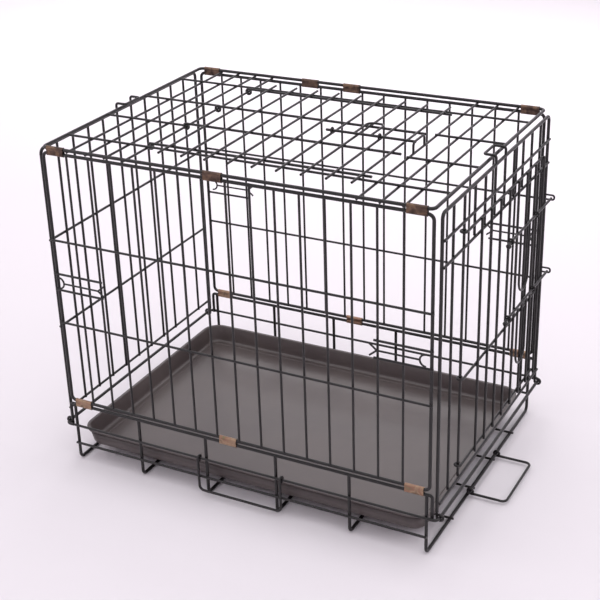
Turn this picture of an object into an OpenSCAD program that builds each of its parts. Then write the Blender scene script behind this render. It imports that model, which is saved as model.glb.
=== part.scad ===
// Folding wire dog crate with a pull-out tray, an end door and a top door.
// +X runs to the door end, +Y to the back and +Z up. The floor is z = 0.

/* [Crate] */
// Distance between the end wires of the long panels
panel_l = 616; // [600:1:640]
// Distance between the front and back panels
crate_w = 445; // [435:1:460]
// Height of the top frame wire's centre line
top_z = 535; // [500:1:560]
// Height of the sill, the wire that the long panels hinge over
sill_z = 102.5; // [95:0.5:110]

/* [Wire] */
// Frame wire diameter
frame_d = 5; // [4.5:0.5:5.5]
// Filling wire diameter
fill_d = 3.6; // [3:0.1:3.6]
// End panel and door wire diameter
end_d = 4; // [3.4:0.2:4]
// Distance between the long panels' upright wires
pitch = 38.1; // [38.1:0.1:38.3]

/* [Tray] */
// Outer length of the tray
tray_l = 608; // [570:2:610]
// Outer width of the tray
tray_w = 418; // [400:2:420]
// Height of the tray's rim
rim_z = 48; // [42:1:52]

/* [Hidden] */
$fn = 24;
gap = 0.3;             // running gap of a wire curled round another wire
weld = 0.6;            // how far one wire sinks into another where they are welded
half_l = panel_l / 2;
half_w = crate_w / 2;
laid = fill_d - weld;                 // a filling wire laid on another
pair = (frame_d + fill_d) / 2 + laid + gap; // between the two wires held in a clip
hinge_z = sill_z + pair;      // bottom wire of the long panels, their hinge axis
side_top_z = top_z - pair;    // top wire of the long panels
corner_r = 8;                 // bend radius of the frame wires
skin = (frame_d + fill_d) / 2 - weld; // a filling wire laid on the frame's face

leg_pitch = 121.5;     // distance between the base's U wires
low_z = 32;            // lower long wire of the base
mid_z = 65;            // upper long wire of the base, level with the end bars
rail_d = 4;            // long wires of the base
rail_y = half_w + (frame_d + rail_d) / 2 - weld;
stringer_y = [-133.5, -44.5, 44.5, 133.5];
stringer_z = frame_d + fill_d / 2 + 0.02;

end_x = half_l + frame_d / 2 + 1.5 * end_d + 2 * gap; // plane of the end panels' uprights
end_y = half_w - 6;           // outermost uprights of the end panels
end_pitch = 2 * end_y / 11;
end_top_z = top_z - 6.5;      // top rail of the end panels
end_low_z = 88;               // bottom rail of the end panels
hook_z = top_z + 6.5;         // hook over the top panel
curl_r = end_d / 2 + gap + frame_d / 2; // end panel curl round its end bar
bar_x = end_x + curl_r;
end_laid = end_d - 1;         // an end wire laid on another
rail_x = end_x + end_laid;    // rails laid on the outside of the end uprights

v3_y = -end_y + 2 * end_pitch;    // upright that the end door hangs on
v10_y = -v3_y;                    // upright on the latch side of the doorway
header_z = 453;
top_cross_z = 491;
knuckle_r = end_d + gap;          // door wire curled round an upright
door_x = end_x + knuckle_r;       // cross wires of the end door
door_up_x = door_x + end_laid;    // uprights of the end door
door_rows = [107, 250, 474];      // heights of the door's cross wires
door_first_y = v3_y + 50;
door_cols = 8;
door_last_y = door_first_y + (door_cols - 1) * pitch;
bolt_d = 4;
grip_d = 3.6;                      // wire of the bolts' handles
guide_d = 3;
guide_r = bolt_d / 2 + gap + guide_d / 2;
bolt_x = door_up_x + (end_d + bolt_d) / 2 + gap;
bolt_rows = [271, 396];           // heights of the end door's two bolts
bolt_tip_y = end_y - guide_d / 2 - 2.5; // just short of the keepers
knob_y = 8;

hatch_hinge_x = -167;             // top panel wire that the top door hangs on
hatch_far_x = 199;                // top panel wire on the latch side
hatch_y = [-162, 153];            // cross wires either side of the top opening
inner_y = [-57, 48];              // cross wires between them
strut_pitch = (half_l - 42.6 + hatch_hinge_x) / 3;
under_z = top_z - laid;           // Y wires under the top panel's cross wires
hatch_knuckle_r = (fill_d + end_d) / 2 + gap;
hatch_z = under_z + hatch_knuckle_r;      // cross wires of the top door
hatch_up_z = hatch_z + end_d / 2 + fill_d / 2 - weld; // Y wires of the top door
hatch_rows = [-150, -51.5, 42.5, 141];
hatch_bolt_z = hatch_up_z + (fill_d + bolt_d) / 2 + gap;
hatch_bolt_y = -14;

latch_z = 319;                    // centre height of the corner latches
latch_d = 2.8;
latch_y = half_w + skin + fill_d / 2 + gap + latch_d / 2 - 1.2;
clip_t = 0.9;                     // sheet thickness of the hinge clips
clip_l = 29;
clip_x = [-285, -19.05, 285];
extra_clip_x = -95.25;            // fourth clip on the back top edge

handle_r = rail_d / 2 + gap + end_d / 2;
handle_y = -rail_y - handle_r;
handle_half = 71.5;
tray_x = -7;                      // middle of the tray
flap_x = half_l + 1;              // pivot wire of the tray stop
flap_z = stringer_z + fill_d - 0.2;
flap_r = fill_d / 2 + gap + end_d / 2;
flap_y = 59;
flap_end_x = flap_x + 57;

// The frame's origin is below the middle of the whole crate's box.
box_low_x = -(bar_x + curl_r + end_d / 2);
box_high_x = flap_end_x + end_d / 2;
box_low_y = handle_y - end_d / 2;
box_high_y = latch_y + latch_d / 2;
shift = [-(box_low_x + box_high_x) / 2, -(box_low_y + box_high_y) / 2, 0];

function unit(v) = v / norm(v);

// Straight wire from a to b.
module rod(a, b, d) {
    v = b - a;
    translate(a)
        rotate([0, acos(v[2] / norm(v)), atan2(v[1], v[0])])
            cylinder(h = norm(v), d = d);
}

// Arc of wire: centre c, unit vector x to its start, unit vector y along its start.
module arc(c, x, y, r, angle, d) {
    z = cross(x, y);
    multmatrix([[x[0], y[0], z[0], c[0]], [x[1], y[1], z[1], c[1]],
        [x[2], y[2], z[2], c[2]], [0, 0, 0, 1]])
        rotate_extrude(angle = angle, $fn = 32)
            translate([r, 0])
                circle(d = d);
}

// Bent wire through the points, with a bend of radius r at each inner point.
module wire(points, d, r = 6) {
    last = len(points) - 1;
    legs = [for (i = [0:last - 1]) unit(points[i + 1] - points[i])];
    turns = [for (i = [0:last])
        i == 0 || i == last ? 0 : acos(max(-1, min(1, legs[i - 1] * legs[i])))];
    for (i = [0:last - 1]) {
        rod(points[i] + legs[i] * r * tan(turns[i] / 2),
            points[i + 1] - legs[i] * r * tan(turns[i + 1] / 2), d);
    }
    for (i = [1:1:last - 1]) {
        inward = unit(legs[i] - legs[i - 1]);
        centre = points[i] + inward * r / cos(turns[i] / 2);
        start = points[i] - legs[i - 1] * r * tan(turns[i] / 2);
        arc(centre, unit(start - centre), legs[i - 1], r, turns[i], d);
    }
}

// Straight wires of diameter d, one for each pair of ends.
module rods(ends, d) {
    for (e = ends)
        rod(e[0], e[1], d);
}

// Closed rectangular frame in the X-Z plane.
module frame_loop(low, high, y) {
    mid = (low[0] + high[0]) / 2;
    wire([[mid, y, low[1]], [high[0], y, low[1]], [high[0], y, high[1]],
        [low[0], y, high[1]], [low[0], y, low[1]], [mid, y, low[1]]], frame_d, corner_r);
}

// Sheet clip closed round two wires that lie one above the other, centred at z.
module clip(x, y, z) {
    inner = frame_d + 0.2;
    outer = inner + 2 * clip_t;
    translate([x - clip_l / 2, y, z])
        rotate([90, 0, 90])
            linear_extrude(clip_l)
                difference() {
                    clip_outline(outer);
                    clip_outline(inner);
                }
}

module clip_outline(w) {
    for (side = [-1, 1])
        translate([0, side * pair / 2])
            circle(d = w, $fn = 48);
    square([w, pair], center = true);
}

module clips(xs, y, z) {
    color("peru") translate(shift)
        for (x = xs)
            clip(x, y, z);
}

// ---- Base ----

leg_x = [for (i = [0:5]) (i - 2.5) * leg_pitch];

module base_floor_runs() {
    run = half_w - corner_r;
    color("dimgray") translate(shift)
        rods([for (x = leg_x) [[x, -run, frame_d / 2], [x, run, frame_d / 2]]], frame_d);
}

module base_stringers() {
    reach = flap_x + 2;
    color("dimgray") translate(shift) {
        rods([for (y = stringer_y) [[-reach, y, stringer_z], [reach, y, stringer_z]]], fill_d);
        rod([flap_x, -70, flap_z], [flap_x, 70, flap_z], fill_d);
    }
}

// One long side of the base; side is -1 at the front and 1 at the back.
module base_side(side) {
    y = side * half_w;
    color("dimgray") translate(shift) {
        for (x = leg_x) {
            arc([x, y - side * corner_r, frame_d / 2 + corner_r], [0, 0, -1], [0, side, 0],
                corner_r, 90, frame_d);
            rod([x, y, frame_d / 2 + corner_r], [x, y, sill_z], frame_d);
        }
        rod([-half_l, y, sill_z], [half_l, y, sill_z], frame_d);
        rod([-half_l, side * rail_y, mid_z], [half_l, side * rail_y, mid_z], rail_d);
        rod([leg_x[0] - 2, side * rail_y, low_z], [leg_x[5] + 2, side * rail_y, low_z], rail_d);
    }
}

module base_front() { base_side(-1); }
module base_back() { base_side(1); }

// Bar that an end panel folds on, with returns that meet the base's long wires.
module end_bar(side) {
    color("dimgray") translate(shift)
        wire([[side * half_l, -rail_y, mid_z], [side * bar_x, -rail_y, mid_z],
            [side * bar_x, rail_y, mid_z], [side * half_l, rail_y, mid_z]], frame_d, corner_r);
}

module end_bar_right() { end_bar(1); }
module end_bar_left() { end_bar(-1); }

module front_bottom_clips() { clips(clip_x, -half_w, sill_z + pair / 2); }
module back_bottom_clips() { clips(clip_x, half_w, sill_z + pair / 2); }
module front_top_clips() { clips(clip_x, -half_w, top_z - pair / 2); }
module back_top_clips() { clips(concat(clip_x, [extra_clip_x]), half_w, top_z - pair / 2); }

// ---- Long panels ----

// Front or back panel; side is -1 at the front and 1 at the back.
module long_panel(side) {
    y = side * half_w;
    face = side * (half_w + skin);
    laid_face = side * (half_w + laid);
    third = (side_top_z - hinge_z) / 3;
    stub = half_l + 3.5;
    color("dimgray") translate(shift) {
        frame_loop([-half_l, hinge_z], [half_l, side_top_z], y);
        for (i = [-7:7])
            rod([i * pitch, y, hinge_z], [i * pitch, y, side_top_z], fill_d);
        for (z = [hinge_z + third, hinge_z + 2 * third])
            rod([-stub, laid_face, z], [stub, laid_face, z], fill_d);
        for (end = [-1, 1], z = [latch_z - 13.5, latch_z + 13.5])
            rod([end * (half_l - 84), laid_face, z], [end * stub, laid_face, z], fill_d);
    }
}

module back_panel() { long_panel(1); }
module front_panel() { long_panel(-1); }

// Sliding corner latch: a rod with a round hook at the corner and a grip at its inner end.
module latch(end, side) {
    y = side * latch_y;
    r = 9;
    hook_x = half_l - 6;
    grip_x = half_l - 78;
    color("dimgray") translate(shift) {
        arc([end * hook_x, y, latch_z], [0, 0, 1], [-end, 0, 0], r, 180, latch_d);
        rod([end * (hook_x - r), y, latch_z], [end * grip_x, y, latch_z], latch_d);
        for (up = [-1, 1])
            rod([end * grip_x, y, latch_z], [end * (grip_x - 11), y, latch_z + up * 9], latch_d);
    }
}

module latch_front_right() { latch(1, -1); }
module latch_front_left() { latch(-1, -1); }
module latch_back_right() { latch(1, 1); }
module latch_back_left() { latch(-1, 1); }

// ---- Top panel and its door ----

module top_panel() {
    struts = concat([for (i = [1:3]) hatch_hinge_x - i * strut_pitch],
        [for (i = [1:2]) hatch_far_x + i * (half_l - 42.6 - hatch_far_x) / 2]);
    keeper_z = hatch_bolt_z + (bolt_d + fill_d) / 2 + 1.8;
    keeper_y = [hatch_bolt_y - 20, hatch_bolt_y + 20];
    color("dimgray") translate(shift) {
        wire([[0, -half_w, top_z], [half_l, -half_w, top_z], [half_l, half_w, top_z],
            [-half_l, half_w, top_z], [-half_l, -half_w, top_z], [0, -half_w, top_z]],
            frame_d, corner_r);
        for (x = concat(struts, [hatch_hinge_x, hatch_far_x]))
            rod([x, -half_w, under_z], [x, half_w, under_z], fill_d);
        for (y = hatch_y)
            rod([-half_l, y, top_z], [half_l, y, top_z], fill_d);
        for (y = inner_y) {
            rod([-half_l, y, top_z], [hatch_hinge_x, y, top_z], fill_d);
            rod([hatch_far_x, y, top_z], [half_l, y, top_z], fill_d);
        }
        wire([[hatch_far_x, keeper_y[0], under_z], [hatch_far_x, keeper_y[0], keeper_z],
            [hatch_far_x, keeper_y[1], keeper_z], [hatch_far_x, keeper_y[1], under_z]],
            fill_d, 6);
    }
}

module top_door() {
    front = hatch_y[0] - 26;
    back = hatch_y[1] + 12;
    edge = hatch_hinge_x + 9 * pitch + 12;
    color("dimgray") translate(shift) {
        for (y = hatch_rows) {
            rod([hatch_hinge_x, y, hatch_z], [edge, y, hatch_z], end_d);
            arc([hatch_hinge_x, y, under_z], [0, 0, 1], [-1, 0, 0], hatch_knuckle_r, 280, end_d);
        }
        for (i = [1:9])
            rod([hatch_hinge_x + i * pitch, front, hatch_up_z],
                [hatch_hinge_x + i * pitch, back, hatch_up_z], fill_d);
        for (i = [6, 8])
            arc([hatch_hinge_x + i * pitch, hatch_bolt_y, hatch_bolt_z], [0, 1, 0], [0, 0, 1],
                guide_r, 360, guide_d);
    }
}

module top_bolt() {
    y = hatch_bolt_y;
    z = hatch_bolt_z;
    near = hatch_hinge_x + 6 * pitch + 35;
    far = near + 27;
    tip_x = hatch_far_x - fill_d / 2 - 2.5; // just short of the keeper
    color("dimgray") translate(shift) {
        rod([52, y, z], [tip_x, y, z], bolt_d);
        wire([[near, y, z], [near, y + 53, z], [far, y + 53, z], [far, y, z]], grip_d, 10);
    }
}

// ---- End panels, door and bolts ----

// Curl, uprights down to the end bar and hook that both end panels share.
module end_common(side, hook_l) {
    x = side * end_x;
    root_z = mid_z + 9;
    wire([[x, -end_y, root_z], [x, -end_y, end_top_z], [x, end_y, end_top_z],
        [x, end_y, root_z]], frame_d, corner_r);
    for (y = [-end_y, end_y]) {
        rod([x, y, mid_z], [x, y, root_z + 3], end_d);
        arc([side * bar_x, y, mid_z], [-side, 0, 0], [0, 0, -1], curl_r, 285, end_d);
    }
    for (y = [-end_y / 11, end_y / 11])
        rod([x, y, end_top_z], [x, y, hook_z - 5], end_d);
    hook_x = x - side * hook_l;
    hook([x, hook_x], end_y / 11);
    rod([side * rail_x, -end_y, end_low_z], [side * rail_x, end_y, end_low_z], end_d);
}

// Hairpin hook that reaches in over the top panel.
module hook(xs, y) {
    wire([[xs[0], -y, hook_z - 5], [xs[0], -y, hook_z], [xs[1], -y, hook_z],
        [xs[1], y, hook_z], [xs[0], y, hook_z], [xs[0], y, hook_z - 5]], end_d, 4);
}

module right_end_panel() {
    rows_y = [for (i = [0:11]) -end_y + i * end_pitch];
    color("dimgray") translate(shift) {
        end_common(1, 18);
        for (i = [1, 2, 9, 10])
            rod([end_x, rows_y[i], end_low_z], [end_x, rows_y[i], end_top_z], end_d);
        for (i = [3:8])
            rod([end_x, rows_y[i], header_z], [end_x, rows_y[i], end_top_z], end_d);
        for (z = [header_z, top_cross_z])
            rod([rail_x, -end_y, z], [rail_x, end_y, z], end_d);
        for (z = bolt_rows)
            wire([[end_x, end_y, z - guide_r], [bolt_x + guide_r, end_y, z - guide_r],
                [bolt_x + guide_r, end_y, z + guide_r], [end_x, end_y, z + guide_r]],
                guide_d, 3.2);
    }
}

module left_end_panel() {
    third = (end_top_z - end_low_z) / 3;
    color("dimgray") translate(shift) {
        end_common(-1, 18);
        for (i = [1:10])
            rod([-end_x, -end_y + i * end_pitch, end_low_z],
                [-end_x, -end_y + i * end_pitch, end_top_z], end_d);
        for (z = [end_low_z + third, end_low_z + 2 * third])
            rod([-rail_x, -end_y, z], [-rail_x, end_y, z], end_d);
    }
}

module end_door() {
    color("dimgray") translate(shift) {
        for (z = door_rows) {
            rod([door_x, v3_y, z], [door_x, door_last_y, z], end_d);
            arc([end_x, v3_y, z], [1, 0, 0], [0, -1, 0], knuckle_r, 280, end_d);
        }
        for (i = [0:door_cols - 1])
            rod([door_up_x, door_first_y + i * pitch, door_rows[0] - 4],
                [door_up_x, door_first_y + i * pitch, door_rows[2] + 2], end_d);
        for (z = bolt_rows, i = [3, 6])
            arc([bolt_x, door_first_y + i * pitch, z], [-1, 0, 0], [0, 0, 1], guide_r, 360,
                guide_d);
    }
}

// Slide bolt of the end door with its hanging handle.
module bolt(z) {
    drop = 84;
    grip_r = 20;
    first = door_first_y + 3 * pitch + 44;
    second = first + 2 * grip_r;
    color("dimgray") translate(shift) {
        rod([bolt_x, knob_y, z], [bolt_x, bolt_tip_y, z], bolt_d);
        translate([bolt_x + 2.5, knob_y, z])
            sphere(d = 8, $fn = 32);
        for (y = [first, second])
            rod([bolt_x, y, z], [bolt_x, y, z - drop], grip_d);
        arc([bolt_x, (first + second) / 2, z - drop], [0, -1, 0], [0, 0, -1], grip_r, 180,
            grip_d);
    }
}

module lower_bolt() { bolt(bolt_rows[0]); }
module upper_bolt() { bolt(bolt_rows[1]); }

// ---- Tray, its stop and the carry handle ----

module slab(l, w, r, z0, z1) {
    translate([0, 0, z0])
        linear_extrude(z1 - z0) {
            square([l - 2 * r, w], center = true);
            square([l, w - 2 * r], center = true);
            for (sx = [-1, 1], sy = [-1, 1])
                translate([sx * (l / 2 - r), sy * (w / 2 - r)])
                    circle(r = r, $fn = 64);
        }
}

module tray() {
    wall = 2.2;
    lip = 4;
    runner_w = 14;
    floor_z = flap_z + flap_r + end_d / 2 + 0.7;
    foot_z = stringer_z + fill_d / 2 + 0.15;
    body_l = tray_l - 2 * lip;
    body_w = tray_w - 2 * lip;
    r = 26;
    color("gray") translate(shift + [tray_x, 0, 0]) {
        difference() {
            union() {
                slab(body_l, body_w, r, floor_z, rim_z);
                slab(tray_l, tray_w, r + lip, rim_z - 2.5, rim_z);
            }
            slab(body_l - 2 * wall, body_w - 2 * wall, r - wall, floor_z + 2.5, rim_z + 1);
        }
        for (y = [stringer_y[0], stringer_y[3]])
            translate([0, y, (foot_z + floor_z) / 2])
                cube([body_l - 2 * r, runner_w, floor_z - foot_z], center = true);
    }
}

module tray_stop() {
    root_z = flap_z - flap_r;
    color("dimgray") translate(shift) {
        for (side = [-1, 1])
            arc([flap_x, side * flap_y, flap_z], [0, 0, -1], [-1, 0, 0], flap_r, 280, end_d);
        wire([[flap_x, -flap_y, root_z], [flap_end_x, -flap_y, root_z],
            [flap_end_x, flap_y, root_z], [flap_x, flap_y, root_z]], end_d, 8);
    }
}

module carry_handle() {
    color("dimgray") translate(shift) {
        for (side = [-1, 1])
            arc([side * handle_half, -rail_y, mid_z], [0, -1, 0], [0, 0, 1], handle_r, 280,
                end_d);
        wire([[-handle_half, handle_y, mid_z], [-handle_half, handle_y, 10],
            [handle_half, handle_y, 10], [handle_half, handle_y, mid_z]], end_d, 8);
    }
}

base_floor_runs();
base_stringers();
base_front();
base_back();
end_bar_right();
end_bar_left();
front_bottom_clips();
back_bottom_clips();
back_panel();
back_top_clips();
top_panel();
front_top_clips();
front_panel();
right_end_panel();
left_end_panel();
end_door();
lower_bolt();
upper_bolt();
top_door();
top_bolt();
tray();
tray_stop();
carry_handle();
latch_front_right();
latch_front_left();
latch_back_right();
latch_back_left();
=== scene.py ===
"""Looks of a folding wire dog crate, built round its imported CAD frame.

Lengths are in metres in the crate's own frame: +X runs to the door end, +Y to the back, +Z up,
and the floor is z = 0. Sizes that read best in millimetres are multiplied by MM.
"""

import logging
import math
from dataclasses import dataclass, field
from enum import Enum

import bmesh
import bpy
from mathutils import Matrix, Quaternion, Vector


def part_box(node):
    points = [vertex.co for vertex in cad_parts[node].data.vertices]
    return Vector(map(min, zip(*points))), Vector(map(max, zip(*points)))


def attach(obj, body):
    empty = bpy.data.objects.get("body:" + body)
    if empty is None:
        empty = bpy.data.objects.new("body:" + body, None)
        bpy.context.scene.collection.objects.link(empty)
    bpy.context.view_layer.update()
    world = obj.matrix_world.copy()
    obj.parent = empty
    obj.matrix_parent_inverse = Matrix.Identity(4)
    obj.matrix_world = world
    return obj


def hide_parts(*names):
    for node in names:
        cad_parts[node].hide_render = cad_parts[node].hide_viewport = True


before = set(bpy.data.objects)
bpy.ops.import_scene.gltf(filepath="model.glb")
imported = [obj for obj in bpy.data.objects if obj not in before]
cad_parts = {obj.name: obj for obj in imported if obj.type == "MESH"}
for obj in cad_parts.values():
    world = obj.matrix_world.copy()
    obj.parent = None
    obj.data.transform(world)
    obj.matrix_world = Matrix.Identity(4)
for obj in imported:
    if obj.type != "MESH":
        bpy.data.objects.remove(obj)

log = logging.getLogger("dog_crate")
MM = 0.001
PITCH = 38.1 * MM  # spacing of the long panels' uprights
MERGE_DISTANCE = 0.001 * MM
SHARP_ANGLE = math.radians(38)
DEGREES_PER_STEP = 9  # of a bend in a wire
CAP_STEPS = ((0.9, 0.45), (0.6, 0.4))  # size of the next ring, and its step in shoulders
CLIP_SLICES = 26
RIM_STEPS = ((0.35, 0.35), (0.15, 0.7), (0.0, 1.6))  # outwards and downwards, in millimetres


# ---- Colour and node helpers ----


def srgb(code: str) -> tuple[float, float, float, float]:
    """Turns an sRGB hex colour into linear values.

    Args:
        code: The colour, such as "#2b2829".

    Returns:
        Linear red, green and blue with an alpha of 1.
    """

    def linear(value: float) -> float:
        """Linear value of one sRGB channel."""
        return value / 12.92 if value <= 0.04045 else ((value + 0.055) / 1.055) ** 2.4

    channels = [linear(int(code[i : i + 2], 16) / 255) for i in (1, 3, 5)]
    return (channels[0], channels[1], channels[2], 1.0)


def per_metre(spacing_mm: float) -> float:
    """Pattern scale that repeats about once in spacing_mm, for Object coordinates in metres."""
    return 1 / (spacing_mm * MM)


def add_node(
    tree: bpy.types.NodeTree, kind: str, settings: dict | None = None, links: dict | None = None
) -> bpy.types.Node:
    """Adds one shader node.

    Args:
        tree: The node tree that gets the node.
        kind: The node's Blender type.
        settings: Socket names or attribute names with their values.
        links: Input socket names with the output sockets that feed them.

    Returns:
        The new node.
    """
    node = tree.nodes.new(kind)
    for name, value in (settings or {}).items():
        if name in node.inputs:
            node.inputs[name].default_value = value
        else:
            setattr(node, name, value)
    for name, source in (links or {}).items():
        tree.links.new(source, node.inputs[name])
    return node


def add_noise(
    tree: bpy.types.NodeTree, place: bpy.types.Node, spacing_mm: float, **settings: float
) -> bpy.types.Node:
    """Adds a noise texture in Object coordinates.

    Args:
        tree: The node tree that gets the node.
        place: The tree's texture coordinate node.
        spacing_mm: Rough spacing of the pattern.
        **settings: Further sockets by name, such as Detail.

    Returns:
        The noise node.
    """
    values = {"Scale": per_metre(spacing_mm), **settings}
    return add_node(tree, "ShaderNodeTexNoise", values, {"Vector": place.outputs["Object"]})


def add_bump(
    tree: bpy.types.NodeTree, height: bpy.types.NodeSocket, strength: float, depth_mm: float
) -> bpy.types.Node:
    """Adds a bump node.

    Args:
        tree: The node tree that gets the node.
        height: The socket that gives the height.
        strength: Share of the bump that shows.
        depth_mm: Height of the relief.

    Returns:
        The bump node.
    """
    values = {"Strength": strength, "Distance": depth_mm * MM}
    return add_node(tree, "ShaderNodeBump", values, {"Height": height})


def add_spread(
    tree: bpy.types.NodeTree, source: bpy.types.NodeSocket, low: float, high: float
) -> bpy.types.Node:
    """Spreads a pattern from 0..1 over a range of roughness.

    Args:
        tree: The node tree that gets the node.
        source: The pattern's socket.
        low: Result where the pattern is 0.
        high: Result where the pattern is 1.

    Returns:
        The node that maps the range.
    """
    values = {"To Min": low, "To Max": high}
    return add_node(tree, "ShaderNodeMapRange", values, {"Value": source})


def set_ramp(node: bpy.types.Node, stops: list[tuple[float, str]]) -> None:
    """Gives a colour ramp its stops.

    Args:
        node: The ColorRamp node.
        stops: Position and sRGB hex colour of each stop, in order.
    """
    elements = node.color_ramp.elements
    while len(elements) < len(stops):
        elements.new(1.0)
    for element, (position, code) in zip(elements, stops):
        element.position = position
        element.color = srgb(code)


def new_material(name: str) -> tuple[bpy.types.Material, bpy.types.NodeTree, bpy.types.Node]:
    """Makes an empty node material.

    Args:
        name: The material's name.

    Returns:
        The material, its tree and its output node.
    """
    material = bpy.data.materials.new(name)
    material.use_nodes = True
    tree = material.node_tree
    tree.nodes.clear()
    output = add_node(tree, "ShaderNodeOutputMaterial")
    return material, tree, output


# ---- Finishes ----


@dataclass(frozen=True)
class CoatedWire:
    """Mild steel wire, welded, then dipped in black electro-coat.

    The coat is thin and satin: charcoal rather than black, a little browner where it pooled, with
    a faint orange peel that breaks up its highlights.
    """

    coat: str = "#131112"
    pooled: str = "#1c1919"
    roughness: float = 0.34
    mottle_mm: float = 9.0
    peel_mm: float = 1.6  # coarser than the real 0.5 mm, so that it shows

    def material(self) -> bpy.types.Material:
        """Builds the finish."""
        material, tree, output = new_material("black_electro_coat")
        place = add_node(tree, "ShaderNodeTexCoord")
        mottle = add_noise(tree, place, self.mottle_mm, Detail=3.0)
        tint = add_node(tree, "ShaderNodeValToRGB", links={"Fac": mottle.outputs["Fac"]})
        set_ramp(tint, [(0.35, self.coat), (0.7, self.pooled)])
        sheen = add_spread(tree, mottle.outputs["Fac"], self.roughness - 0.06, self.roughness + 0.1)
        peel = add_noise(tree, place, self.peel_mm, Detail=2.0)
        bump = add_bump(tree, peel.outputs["Fac"], 0.25, 0.05)
        shader = add_node(
            tree,
            "ShaderNodeBsdfPrincipled",
            {"IOR": 1.5, "Specular IOR Level": 0.4, "Coat Weight": 0.12, "Coat Roughness": 0.2},
            {
                "Base Color": tint.outputs["Color"],
                "Roughness": sheen.outputs["Result"],
                "Normal": bump.outputs["Normal"],
            },
        )
        tree.links.new(shader.outputs["BSDF"], output.inputs["Surface"])
        return material


class Passivation(Enum):
    """How the zinc of a clip has aged: the stops of its colour ramp."""

    BRIGHT = ((0.25, "#66554a"), (0.45, "#9f866f"), (0.6, "#93715f"), (0.75, "#7a765a"))
    BROWNED = ((0.3, "#3e332e"), (0.5, "#5f4d44"), (0.62, "#7c6452"), (0.78, "#4d3f37"))


@dataclass(frozen=True)
class PassivatedSteel:
    """Pressed steel strip, zinc plated and yellow passivated.

    The passivated film is iridescent: brass yellow that drifts to pink and olive over a few
    millimetres, and browner on the clips that were handled most.
    """

    film: Passivation
    roughness: float = 0.34
    drift_mm: float = 13.0
    scuff_mm: float = 2.2

    def material(self) -> bpy.types.Material:
        """Builds the finish."""
        material, tree, output = new_material(f"passivated_steel_{self.film.name.lower()}")
        place = add_node(tree, "ShaderNodeTexCoord")
        drift = add_noise(tree, place, self.drift_mm, Detail=4.0, Distortion=0.6)
        film = add_node(tree, "ShaderNodeValToRGB", links={"Fac": drift.outputs["Fac"]})
        set_ramp(film, list(self.film.value))
        scuff = add_noise(tree, place, self.scuff_mm, Detail=3.0)
        dulled = add_spread(tree, scuff.outputs["Fac"], self.roughness - 0.08, self.roughness + 0.2)
        bump = add_bump(tree, scuff.outputs["Fac"], 0.3, 0.06)
        shader = add_node(
            tree,
            "ShaderNodeBsdfPrincipled",
            {"Metallic": 0.85},
            {
                "Base Color": film.outputs["Color"],
                "Roughness": dulled.outputs["Result"],
                "Normal": bump.outputs["Normal"],
            },
        )
        tree.links.new(shader.outputs["BSDF"], output.inputs["Surface"])
        return material


@dataclass(frozen=True)
class MouldedPolystyrene:
    """Thermoformed high-impact polystyrene, dark warm grey.

    The sheet keeps the tool's fine leather-like grain, so it is satin, and it picks up the bright
    room at a glancing angle. Faint cloudy patches show where the sheet stretched.
    """

    sheet: str = "#483f3e"
    clouded: str = "#534a48"
    roughness: float = 0.36
    cloud_mm: float = 120.0
    grain_mm: float = 2.4  # coarser than the real 0.8 mm grain, so that it shows

    def material(self) -> bpy.types.Material:
        """Builds the finish."""
        material, tree, output = new_material("moulded_polystyrene")
        place = add_node(tree, "ShaderNodeTexCoord")
        cloud = add_noise(tree, place, self.cloud_mm, Detail=4.0)
        tint = add_node(tree, "ShaderNodeValToRGB", links={"Fac": cloud.outputs["Fac"]})
        set_ramp(tint, [(0.35, self.sheet), (0.65, self.clouded)])
        grain = add_node(
            tree,
            "ShaderNodeTexVoronoi",
            {"Scale": per_metre(self.grain_mm)},
            {"Vector": place.outputs["Object"]},
        )
        satin = add_spread(tree, cloud.outputs["Fac"], self.roughness - 0.05, self.roughness + 0.08)
        bump = add_bump(tree, grain.outputs["Distance"], 0.22, 0.08)
        shader = add_node(
            tree,
            "ShaderNodeBsdfPrincipled",
            {"IOR": 1.62},
            {
                "Base Color": tint.outputs["Color"],
                "Roughness": satin.outputs["Result"],
                "Normal": bump.outputs["Normal"],
            },
        )
        tree.links.new(shader.outputs["BSDF"], output.inputs["Surface"])
        return material


@dataclass(frozen=True)
class StudioPaper:
    """Matt white photographic background paper with a cool cast."""

    tone: str = "#e6e1e5"
    roughness: float = 0.75

    def material(self) -> bpy.types.Material:
        """Builds the finish."""
        material, tree, output = new_material("studio_paper")
        place = add_node(tree, "ShaderNodeTexCoord")
        fibre = add_noise(tree, place, 4.0)
        bump = add_bump(tree, fibre.outputs["Fac"], 0.03, 0.1)
        shader = add_node(
            tree,
            "ShaderNodeBsdfPrincipled",
            {"Base Color": srgb(self.tone), "Roughness": self.roughness},
            {"Normal": bump.outputs["Normal"]},
        )
        tree.links.new(shader.outputs["BSDF"], output.inputs["Surface"])
        return material


# ---- Mesh helpers ----


def extrude_ring(shape: bmesh.types.BMesh, ring: list) -> tuple[list, list]:
    """Extrudes a ring of edges and leaves the new ring where the old one is.

    Args:
        shape: The mesh that holds the ring.
        ring: The ring's edges.

    Returns:
        The new ring's vertices and edges.
    """
    made = bmesh.ops.extrude_edge_only(shape, edges=ring)["geom"]
    verts = [part for part in made if isinstance(part, bmesh.types.BMVert)]
    edges = [part for part in made if isinstance(part, bmesh.types.BMEdge)]
    return verts, edges


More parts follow.
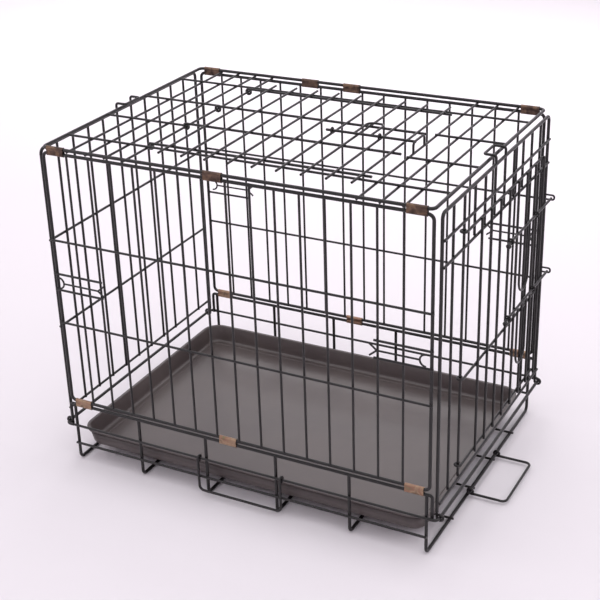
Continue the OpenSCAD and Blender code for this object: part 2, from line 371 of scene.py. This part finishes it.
def make_piece(
    name: str, shape: bmesh.types.BMesh, material: bpy.types.Material, body: str
) -> bpy.types.Object:
    """Turns a bmesh into a finished piece that rides on a CAD body.

    Args:
        name: The piece's name.
        shape: The mesh, with its place in it. It is freed.
        material: The piece's finish.
        body: The CAD body that carries it.

    Returns:
        The new object.
    """
    bmesh.ops.remove_doubles(shape, verts=shape.verts, dist=MERGE_DISTANCE)
    bmesh.ops.recalc_face_normals(shape, faces=shape.faces)
    for face in shape.faces:
        face.smooth = True
    mesh = bpy.data.meshes.new(name)
    shape.to_mesh(mesh)
    shape.free()
    piece = bpy.data.objects.new(name, mesh)
    bpy.context.scene.collection.objects.link(piece)
    mesh.materials.append(material)
    mesh.set_sharp_from_angle(angle=SHARP_ANGLE)
    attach(piece, body)
    log.info("%s: %d faces on %s", name, len(mesh.polygons), body)
    return piece


@dataclass
class WireBender:
    """Bends round wire: each call to straight or bend goes on from the wire's last end."""

    start: Vector
    heading: Vector
    diameter: float
    sides: int = 20
    shape: bmesh.types.BMesh = field(default_factory=bmesh.new)
    tip: Vector = field(init=False)
    rim: list = field(init=False)

    def __post_init__(self) -> None:
        """Draws the wire's first end."""
        self.heading = self.heading.normalized()
        self.tip = self.start.copy()
        turn = Vector((0, 0, 1)).rotation_difference(self.heading).to_matrix().to_4x4()
        made = bmesh.ops.create_circle(
            self.shape,
            cap_ends=False,
            segments=self.sides,
            radius=self.diameter / 2,
            matrix=Matrix.Translation(self.start) @ turn,
        )
        self.rim = list({edge for vert in made["verts"] for edge in vert.link_edges})
        self.cap(-1)

    def cap(self, direction: int) -> None:
        """Closes the present end with a slightly rounded face.

        Args:
            direction: 1 at the wire's leading end and -1 at its first end.
        """
        shoulder = 0.25 * self.diameter
        ring = self.rim
        for share, step in CAP_STEPS:
            verts, ring = extrude_ring(self.shape, ring)
            centre = sum((v.co for v in verts), Vector()) / len(verts)
            for vert in verts:
                vert.co = centre + (vert.co - centre) * share
                vert.co += self.heading * direction * shoulder * step
        bmesh.ops.edgeloop_fill(self.shape, edges=ring)

    def straight(self, length: float) -> "WireBender":
        """Runs the wire straight on.

        Args:
            length: Length of the straight stretch.

        Returns:
            The bender, for the next step.
        """
        verts, self.rim = extrude_ring(self.shape, self.rim)
        bmesh.ops.translate(self.shape, verts=verts, vec=self.heading * length)
        self.tip = self.tip + self.heading * length
        return self

    def bend(self, towards: Vector, radius: float, degrees: float) -> "WireBender":
        """Bends the wire.

        Args:
            towards: Direction from the wire to the bend's centre.
            radius: Radius of the wire's centre line.
            degrees: Angle of the bend.

        Returns:
            The bender, for the next step.
        """
        side = (towards - self.heading * towards.dot(self.heading)).normalized()
        axis = self.heading.cross(side)
        centre = self.tip + side * radius
        steps = max(3, round(degrees / DEGREES_PER_STEP))
        made = bmesh.ops.spin(
            self.shape,
            geom=self.rim,
            cent=centre,
            axis=axis,
            angle=math.radians(degrees),
            steps=steps,
            use_merge=False,
            use_duplicate=False,
        )
        self.rim = [e for e in made["geom_last"] if isinstance(e, bmesh.types.BMEdge)]
        turn = Quaternion(axis, math.radians(degrees))
        self.tip = centre + turn @ (self.tip - centre)
        self.heading = turn @ self.heading
        return self

    def finish(self) -> bmesh.types.BMesh:
        """Closes the leading end and gives the wire's mesh."""
        self.cap(1)
        return self.shape


# ---- Sub-assemblies ----


@dataclass
class WireWork:
    """The welded wire panels, doors, bolts and base, which keep their CAD meshes."""

    finish: CoatedWire = field(default_factory=CoatedWire)

    def dress(self) -> bpy.types.Material:
        """Gives every wire node its finish.

        Returns:
            The finish's material, which the added wires share.
        """
        material = self.finish.material()
        for name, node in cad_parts.items():
            if name.endswith("clips") or name == "tray":
                continue
            node.data.materials.clear()
            node.data.materials.append(material)
            log.info("%s: black electro-coat", name)
        return material


@dataclass
class ClipRow:
    """A row of pressed hinge clips on one edge of the crate."""

    node: str
    body: str
    places: tuple[float, ...]
    film: Passivation
    wire: float = 5.0 * MM
    pair: float = 7.6 * MM
    length: float = 29.0 * MM
    sheet: float = 0.85 * MM
    slack: float = 0.1 * MM
    waist: float = 0.9 * MM
    lip: float = 0.25 * MM
    lip_share: float = 0.1  # of half the clip's length
    dimple: float = 0.55 * MM
    dimple_height: float = 1.9 * MM
    dimple_pinch: float = 3.2  # half the clip's length over a dimple's reach along it
    dimple_places: tuple[float, ...] = (-0.45, 0.45)  # from -1 to 1 along the clip

    def section(self, shape: bmesh.types.BMesh, x: float, y: float, z: float) -> list:
        """Draws the clip's closed outline round its two wires.

        Args:
            shape: The bmesh that gets it.
            x: Place of the clip's left end.
            y: Place of the wires' centre lines.
            z: Height halfway between the wires.

        Returns:
            The outline's edges.
        """
        radius = self.wire / 2 + self.slack + self.sheet
        made = bmesh.ops.create_circle(
            shape,
            cap_ends=False,
            segments=32,
            radius=radius,
            matrix=Matrix.Rotation(math.radians(90), 4, "Y"),
        )
        ring = made["verts"]
        for vert in ring:
            vert.co.z += math.copysign(self.pair / 2, vert.co.z)
        long_edges = [
            edge
            for edge in {e for v in ring for e in v.link_edges}
            if edge.calc_length() > self.pair / 2
        ]
        bmesh.ops.subdivide_edges(shape, edges=long_edges, cuts=7, use_grid_fill=False)
        for vert in shape.verts:
            near = max(0.0, 1 - abs(vert.co.z) / (self.pair * 0.75))
            vert.co.y -= math.copysign(self.waist * near**2, vert.co.y)
        bmesh.ops.translate(shape, verts=shape.verts, vec=(x, y, z))
        return list(shape.edges)

    def clip(self, index: int, x: float, material: bpy.types.Material) -> bpy.types.Object:
        """Makes one clip.

        Args:
            index: The clip's number in its row.
            x: Place of the clip's middle.
            material: The clip's finish.

        Returns:
            The clip.
        """
        low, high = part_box(self.node)
        y = (low.y + high.y) / 2
        z = (low.z + high.z) / 2
        shape = bmesh.new()
        ring = self.section(shape, x - self.length / 2, y, z)
        slice_vec = (self.length / CLIP_SLICES, 0, 0)
        for _ in range(CLIP_SLICES):
            verts, ring = extrude_ring(shape, ring)
            bmesh.ops.translate(shape, verts=verts, vec=slice_vec)
        for vert in shape.verts:
            along = (vert.co.x - x) / (self.length / 2)
            flare = max(0.0, abs(along) - (1 - self.lip_share)) / self.lip_share
            away = vert.co - Vector((vert.co.x, y, z))
            vert.co += away.normalized() * self.lip * flare**2
            for spot in self.dimple_places:
                across = (vert.co.z - z) / self.dimple_height
                reach = math.hypot((along - spot) * self.dimple_pinch, across)
                depth = self.dimple * math.exp(-(reach**2))
                vert.co.y -= math.copysign(depth, away.y)
        bmesh.ops.recalc_face_normals(shape, faces=shape.faces)
        bmesh.ops.solidify(shape, geom=shape.faces, thickness=self.sheet)
        return make_piece(f"{self.node}_{index}", shape, material, self.body)

    def build(self, material: bpy.types.Material) -> None:
        """Makes the row in place of its CAD node.

        Args:
            material: The clips' finish.
        """
        pieces = [self.clip(i + 1, x, material) for i, x in enumerate(self.places)]
        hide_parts(self.node)


@dataclass
class Tray:
    """The thermoformed tray: rolled lip, tapered walls, coved corners and a raised floor line."""

    finish: MouldedPolystyrene = field(default_factory=MouldedPolystyrene)
    corner: float = 30.0 * MM
    edge: float = 0.5 * MM
    cove: float = 5.5 * MM
    taper: float = 5.0 * MM
    sheet: float = 2.2 * MM
    floor_z: float = 19.5 * MM
    runner_y: float = 133.5 * MM
    runner_w: float = 13.0 * MM
    runner_inset: float = 30.0 * MM
    runner_radius: float = 1.6 * MM

    def steps(self, depth: float) -> list[tuple[float, float]]:
        """Inward and upward steps of the tray's upper face, from its rim to its floor.

        Args:
            depth: Drop from the rim to the floor.

        Returns:
            The steps, in metres.
        """
        arc = [math.radians(a) for a in range(12, 91, 13)]
        wall = depth - 0.9 * MM - self.cove
        rounded = []
        for a, b in zip([0.0, *arc], [*arc, math.pi / 2]):
            inward = self.cove * (1 - math.cos(b)) - self.cove * (1 - math.cos(a))
            rounded.append((inward, -self.cove * (math.sin(b) - math.sin(a))))
        line = [(4 * MM, 0.0), (0.5 * MM, 0.0), (0.7 * MM, 0.7 * MM), (0.9 * MM, 0.0)]
        after = [(0.7 * MM, -0.7 * MM), (0.5 * MM, 0.0)]
        lip = [(0.5 * MM, 0.0), (3.0 * MM, 0.0), (0.4 * MM, 0.0), (0.5 * MM, -0.3 * MM)]
        return [*lip, (0.3 * MM, -0.6 * MM), (self.taper, -wall), *rounded, *line, *after]

    def pan(self, material: bpy.types.Material) -> bpy.types.Object:
        """Makes the tray itself.

        Args:
            material: The tray's finish.

        Returns:
            The tray.
        """
        low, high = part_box("tray")
        centre = (low + high) / 2
        shape = bmesh.new()
        size = high - low
        place = Matrix.Translation((centre.x, centre.y, high.z))
        scale = Matrix.Diagonal((size.x - 2 * self.edge, size.y - 2 * self.edge, 1, 1))
        bmesh.ops.create_grid(shape, x_segments=1, y_segments=1, size=0.5, matrix=place @ scale)
        bmesh.ops.bevel(
            shape,
            geom=list(shape.verts),
            offset=self.corner - self.edge,
            offset_type="OFFSET",
            affect="VERTICES",
            segments=14,
            profile=0.5,
            material=-1,
        )
        face = max(shape.faces, key=lambda f: f.calc_area())
        rim = list(face.edges)
        for outward, down in RIM_STEPS:
            verts, rim = extrude_ring(shape, rim)
            for vert in verts:
                away = Vector((vert.co.x - centre.x, vert.co.y - centre.y, 0))
                away.x = math.copysign(outward * MM, away.x)
                away.y = math.copysign(outward * MM, away.y)
                vert.co += away - Vector((0, 0, down * MM))
        for inward, rise in self.steps(high.z - self.floor_z):
            bmesh.ops.inset_region(
                shape,
                faces=[face],
                thickness=inward,
                depth=rise,
                use_boundary=True,
                use_even_offset=True,
            )
        bmesh.ops.recalc_face_normals(shape, faces=shape.faces)
        if face.normal.z < 0:
            bmesh.ops.reverse_faces(shape, faces=shape.faces)
        piece = make_piece("tray_pan", shape, material, "tray")
        thick = piece.modifiers.new("sheet", "SOLIDIFY")
        thick.thickness = self.sheet
        thick.offset = -1 if piece.data.polygons[0].normal.z >= 0 else 1
        return piece

    def runner(self, side: int, material: bpy.types.Material) -> bpy.types.Object:
        """Makes one of the two runners under the tray.

        Args:
            side: -1 at the front and 1 at the back.
            material: The tray's finish.

        Returns:
            The runner.
        """
        low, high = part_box("tray")
        centre = (low + high) / 2
        top = self.floor_z - self.sheet + 0.1 * MM
        shape = bmesh.new()
        size = (high.x - low.x - 2 * self.runner_inset, self.runner_w, top - low.z)
        place = Matrix.Translation((centre.x, centre.y + side * self.runner_y, (top + low.z) / 2))
        bmesh.ops.create_cube(shape, size=1.0, matrix=place @ Matrix.Diagonal((*size, 1)))
        bmesh.ops.bevel(
            shape,
            geom=list(shape.edges),
            offset=self.runner_radius,
            offset_type="OFFSET",
            affect="EDGES",
            segments=4,
            profile=0.5,
            material=-1,
        )
        name = "tray_runner_front" if side < 0 else "tray_runner_back"
        return make_piece(name, shape, material, "tray")

    def build(self) -> None:
        """Makes the tray and its runners in place of the CAD tray."""
        material = self.finish.material()
        pan = self.pan(material)
        for side in (-1, 1):
            self.runner(side, material)
        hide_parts("tray")


@dataclass
class SillEnds:
    """Both ends of a sill wire, bent down to the base's middle rail outside the outer legs."""

    node: str
    clips: str
    wire: float = 5.0 * MM
    radius: float = 4.5 * MM
    rail_z: float = 65.0 * MM
    sunk: float = 0.3 * MM

    def build(self, material: bpy.types.Material) -> None:
        """Bends the sill's two ends.

        Args:
            material: The wires' finish.
        """
        low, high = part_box(self.node)
        clip_low, clip_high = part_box(self.clips)
        y = (clip_low.y + clip_high.y) / 2
        level = high.z - self.wire / 2
        for end, edge, word in ((-1, low.x, "left"), (1, high.x, "right")):
            root = Vector((edge - end * self.sunk, y, level))
            bender = WireBender(root, Vector((end, 0, 0)), self.wire)
            bender.bend(Vector((0, 0, -1)), self.radius, 90)
            bender.straight(level - self.radius - self.rail_z)
            name = f"{self.node}_sill_end_{word}"
            make_piece(name, bender.finish(), material, "base")


@dataclass
class Studio:
    """Seamless white sweep, soft lights and the camera."""

    flat: float = 3.4
    wall: float = 2.6
    lean: float = 0.2
    cove: float = 1.6
    cove_angle: float = math.radians(80)
    paper: StudioPaper = field(default_factory=StudioPaper)
    camera_place: Vector = field(default_factory=lambda: Vector((0.86933, -1.66854, 1.16303)))
    camera_aim: Vector = field(default_factory=lambda: Vector((-0.42620, 0.79313, -0.43509)))
    camera_roll: float = math.radians(-1.83)
    lens: float = 79.26

    def sweep(self) -> None:
        """Spins the floor and its curved edge."""
        shape = bmesh.new()
        start = shape.verts.new((0, 0, 0))
        made = bmesh.ops.extrude_vert_indiv(shape, verts=[start])
        bmesh.ops.translate(shape, verts=made["verts"], vec=(self.flat, 0, 0))
        made = bmesh.ops.spin(
            shape,
            geom=made["verts"],
            cent=(self.flat, 0, self.cove),
            axis=(0, -1, 0),
            angle=self.cove_angle,
            steps=14,
            use_merge=False,
            use_duplicate=False,
        )
        last = [v for v in made["geom_last"] if isinstance(v, bmesh.types.BMVert)]
        made = bmesh.ops.extrude_vert_indiv(shape, verts=last)
        bmesh.ops.translate(shape, verts=made["verts"], vec=(self.lean, 0, self.wall))
        bmesh.ops.spin(
            shape,
            geom=list(shape.verts) + list(shape.edges),
            cent=(0, 0, 0),
            axis=(0, 0, 1),
            angle=math.tau,
            steps=96,
            use_merge=True,
            use_duplicate=False,
        )
        bmesh.ops.remove_doubles(shape, verts=shape.verts, dist=0.1 * MM)
        bmesh.ops.recalc_face_normals(shape, faces=shape.faces)
        for face in shape.faces:
            face.smooth = True
        mesh = bpy.data.meshes.new("studio_floor")
        shape.to_mesh(mesh)
        shape.free()
        mesh.materials.append(self.paper.material())
        floor = bpy.data.objects.new("studio_floor", mesh)
        bpy.context.scene.collection.objects.link(floor)

    def soft_box(self, name: str, place: tuple, aim: tuple, size: tuple, watts: float) -> None:
        """Hangs one rectangular soft box.

        Args:
            name: The light's name.
            place: Where it hangs.
            aim: The point that it faces.
            size: Its width and height.
            watts: Its power.
        """
        lamp = bpy.data.lights.new(name, "AREA")
        lamp.shape = "RECTANGLE"
        lamp.size, lamp.size_y = size
        lamp.energy = watts
        box = bpy.data.objects.new(name, lamp)
        bpy.context.scene.collection.objects.link(box)
        box.location = place
        box.rotation_mode = "QUATERNION"
        box.rotation_quaternion = (Vector(aim) - Vector(place)).to_track_quat("-Z", "Y")

    def light(self) -> None:
        """Sets the room's fill, three soft boxes and a wash over the rear of the floor."""
        world = bpy.data.worlds.new("studio_room")
        bpy.context.scene.world = world
        world.use_nodes = True
        tree = world.node_tree
        tree.nodes.clear()
        fill = add_node(tree, "ShaderNodeBackground", {"Color": srgb("#f7f4f9"), "Strength": 1.0})
        output = add_node(tree, "ShaderNodeOutputWorld")
        tree.links.new(fill.outputs["Background"], output.inputs["Surface"])
        middle = (0.0, 0.0, 0.25)
        self.soft_box("overhead_box", (0.1, 0.3, 2.6), middle, (2.6, 2.2), 21)
        self.soft_box("left_box", (-2.2, -1.5, 1.8), middle, (1.6, 1.6), 11)
        self.soft_box("right_box", (2.4, 0.2, 1.5), middle, (1.4, 1.4), 9)
        self.soft_box("rear_wash", (-1.1, 2.1, 1.3), (-1.1, 2.2, 0.0), (3.2, 1.0), 22)

    def camera(self) -> None:
        """Stands the camera in front, to the right and above, as an eye-level view down."""
        data = bpy.data.cameras.new("studio_camera")
        data.lens = self.lens
        data.sensor_width = 36.0
        camera = bpy.data.objects.new("studio_camera", data)
        bpy.context.scene.collection.objects.link(camera)
        level = self.camera_aim.to_track_quat("-Z", "Y")
        camera.rotation_mode = "QUATERNION"
        camera.rotation_quaternion = level @ Quaternion((0, 0, 1), self.camera_roll)
        camera.location = self.camera_place
        bpy.context.scene.camera = camera

    def build(self) -> None:
        """Builds the studio."""
        self.sweep()
        self.light()
        self.camera()
        bpy.context.scene.view_settings.view_transform = "Standard"


def main() -> None:
    """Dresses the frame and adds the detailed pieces."""
    logging.basicConfig(level=logging.INFO, format="%(name)s: %(message)s")
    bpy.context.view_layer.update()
    Studio().build()
    wire = WireWork().dress()
    bright = PassivatedSteel(Passivation.BRIGHT).material()
    browned = PassivatedSteel(Passivation.BROWNED).material()
    low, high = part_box("front_bottom_clips")
    half = (high.x - low.x - ClipRow.length) / 2
    middle = (high.x + low.x) / 2
    row = (middle - half, middle - PITCH / 2, middle + half)
    back_row = (*row, middle - 2.5 * PITCH)
    ClipRow("front_bottom_clips", "base", row, Passivation.BRIGHT).build(bright)
    ClipRow("back_bottom_clips", "base", row, Passivation.BRIGHT).build(bright)
    ClipRow("front_top_clips", "top_panel", row, Passivation.BROWNED).build(browned)
    ClipRow("back_top_clips", "top_panel", back_row, Passivation.BROWNED).build(browned)
    Tray().build()
    SillEnds("base_front", "front_bottom_clips").build(wire)
    SillEnds("base_back", "back_bottom_clips").build(wire)


if __name__ == "__main__":
    main()
